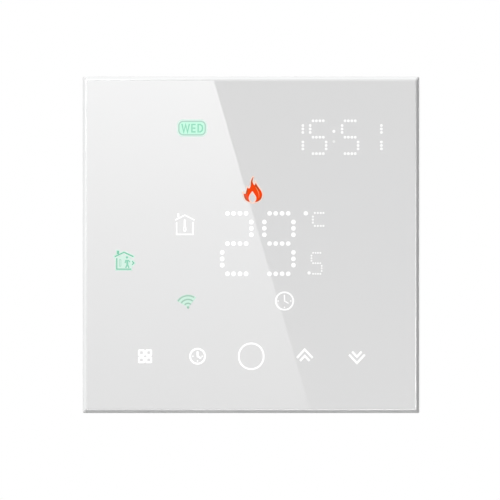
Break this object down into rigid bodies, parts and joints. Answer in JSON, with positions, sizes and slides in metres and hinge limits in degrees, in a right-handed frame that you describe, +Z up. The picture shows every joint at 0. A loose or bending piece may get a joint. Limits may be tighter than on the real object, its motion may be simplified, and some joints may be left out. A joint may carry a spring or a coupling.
{
  "type": "wall thermostat",
  "caption": "Square touch-glass wall thermostat with a lit display: a flat display unit pushed onto a steel plate whose rear housing sits in a wall box and holds the relay and wire terminals.",
  "frame": {"origin": "in the wall's plane, midway between the two fixing screws, behind the centre of the glass", "axes": "+Z up, +Y into the wall, so the glass faces -Y"},
  "size_m": [0.086, 0.0423, 0.086],
  "materials": {
    "white_glass": "gloss, white paint on its back",
    "black_tape": "matte",
    "milky_film": "satin",
    "white_plastic": "fine texture",
    "circuit_board": "solder mask",
    "plated_steel": "zinc plated",
    "spring_steel": "bright",
    "black_plastic": "satin",
    "grey_plastic": "fine texture",
    "screw_steel": "nickel plated",
    "brass": "tinned",
    "green_plastic": "satin",
    "blue_plastic": "gloss",
    "copper_winding": "enamelled wire",
    "yellow_plastic": "tape and epoxy",
    "dark_sleeve": "printed sleeve",
    "ferrite": "matte"
  },
  "bodies": {
    "base": {"mounting_plate": "plated_steel", "mounting_screw_1": "screw_steel", "mounting_screw_2": "screw_steel", "base_housing": "grey_plastic", "housing_screw_1": "screw_steel", "housing_screw_2": "screw_steel", "base_cover": "grey_plastic", "power_board": "circuit_board", "header_socket": "black_plastic", "transformer_core": "ferrite", "transformer_winding": "yellow_plastic", "capacitor_1": "dark_sleeve", "capacitor_2": "dark_sleeve", "film_capacitor": "yellow_plastic", "varistor": "blue_plastic", "fuse": "black_plastic", "relay_case": "blue_plastic", "relay_base": "black_plastic", "relay_yoke": "plated_steel", "relay_coil": "copper_winding", "terminal_block": "green_plastic", "terminal_contact_1": "brass", "terminal_contact_2": "brass", "terminal_contact_3": "brass", "terminal_contact_4": "brass", "terminal_contact_5": "brass", "terminal_contact_6": "brass"},
    "display": {"glass_panel": "white_glass", "adhesive_frame": "black_tape", "diffuser_film": "milky_film", "light_mask": "white_plastic", "front_frame": "white_plastic", "display_board": "circuit_board", "wifi_module": "plated_steel", "touch_spring_1": "spring_steel", "touch_spring_2": "spring_steel", "touch_spring_3": "spring_steel", "touch_spring_4": "spring_steel", "touch_spring_5": "spring_steel", "room_sensor": "black_plastic", "board_header": "black_plastic", "inner_cover": "grey_plastic", "cover_screw_1": "screw_steel", "cover_screw_2": "screw_steel", "cover_screw_3": "screw_steel", "cover_screw_4": "screw_steel"},
    "relay_armature": {"relay_armature": "plated_steel"},
    "terminal_screw_1": {"terminal_screw_1": "screw_steel"},
    "terminal_clamp_1": {"terminal_clamp_1": "screw_steel"},
    "terminal_screw_2": {"terminal_screw_2": "screw_steel"},
    "terminal_clamp_2": {"terminal_clamp_2": "screw_steel"},
    "terminal_screw_3": {"terminal_screw_3": "screw_steel"},
    "terminal_clamp_3": {"terminal_clamp_3": "screw_steel"},
    "terminal_screw_4": {"terminal_screw_4": "screw_steel"},
    "terminal_clamp_4": {"terminal_clamp_4": "screw_steel"},
    "terminal_screw_5": {"terminal_screw_5": "screw_steel"},
    "terminal_clamp_5": {"terminal_clamp_5": "screw_steel"},
    "terminal_screw_6": {"terminal_screw_6": "screw_steel"},
    "terminal_clamp_6": {"terminal_clamp_6": "screw_steel"}
  },
  "joints": [
    {"name": "display_pull", "type": "slide", "parent": "base", "child": "display", "axis": [0, -1, 0], "range_m": [0, 0.03]},
    {"name": "relay_swing", "type": "hinge", "parent": "base", "child": "relay_armature", "pos_m": [-0.0081, 0.0229, 0.0149], "axis": [0, 0, 1], "range_deg": [0, 4], "stiffness_Nm_per_rad": 0.02, "springref_deg": -5.73},
    {"name": "terminal_lift_1", "type": "slide", "parent": "base", "child": "terminal_clamp_1", "axis": [0, 1, 0], "range_m": [0, 0.002]},
    {"name": "terminal_turn_1", "type": "hinge", "parent": "base", "child": "terminal_screw_1", "pos_m": [-0.01905, 0.0262, -0.0182], "axis": [0, -1, 0], "range_deg": [0, 1440]},
    {"name": "terminal_lift_2", "type": "slide", "parent": "base", "child": "terminal_clamp_2", "axis": [0, 1, 0], "range_m": [0, 0.002]},
    {"name": "terminal_turn_2", "type": "hinge", "parent": "base", "child": "terminal_screw_2", "pos_m": [-0.01143, 0.0262, -0.0182], "axis": [0, -1, 0], "range_deg": [0, 1440]},
    {"name": "terminal_lift_3", "type": "slide", "parent": "base", "child": "terminal_clamp_3", "axis": [0, 1, 0], "range_m": [0, 0.002]},
    {"name": "terminal_turn_3", "type": "hinge", "parent": "base", "child": "terminal_screw_3", "pos_m": [-0.00381, 0.0262, -0.0182], "axis": [0, -1, 0], "range_deg": [0, 1440]},
    {"name": "terminal_lift_4", "type": "slide", "parent": "base", "child": "terminal_clamp_4", "axis": [0, 1, 0], "range_m": [0, 0.002]},
    {"name": "terminal_turn_4", "type": "hinge", "parent": "base", "child": "terminal_screw_4", "pos_m": [0.00381, 0.0262, -0.0182], "axis": [0, -1, 0], "range_deg": [0, 1440]},
    {"name": "terminal_lift_5", "type": "slide", "parent": "base", "child": "terminal_clamp_5", "axis": [0, 1, 0], "range_m": [0, 0.002]},
    {"name": "terminal_turn_5", "type": "hinge", "parent": "base", "child": "terminal_screw_5", "pos_m": [0.01143, 0.0262, -0.0182], "axis": [0, -1, 0], "range_deg": [0, 1440]},
    {"name": "terminal_lift_6", "type": "slide", "parent": "base", "child": "terminal_clamp_6", "axis": [0, 1, 0], "range_m": [0, 0.002]},
    {"name": "terminal_turn_6", "type": "hinge", "parent": "base", "child": "terminal_screw_6", "pos_m": [0.01905, 0.0262, -0.0182], "axis": [0, -1, 0], "range_deg": [0, 1440]}
  ],
  "couplings": [
    {"joint": "terminal_turn_1", "follows": "terminal_lift_1", "rad_per_m": 12566},
    {"joint": "terminal_turn_2", "follows": "terminal_lift_2", "rad_per_m": 12566},
    {"joint": "terminal_turn_3", "follows": "terminal_lift_3", "rad_per_m": 12566},
    {"joint": "terminal_turn_4", "follows": "terminal_lift_4", "rad_per_m": 12566},
    {"joint": "terminal_turn_5", "follows": "terminal_lift_5", "rad_per_m": 12566},
    {"joint": "terminal_turn_6", "follows": "terminal_lift_6", "rad_per_m": 12566}
  ]
}
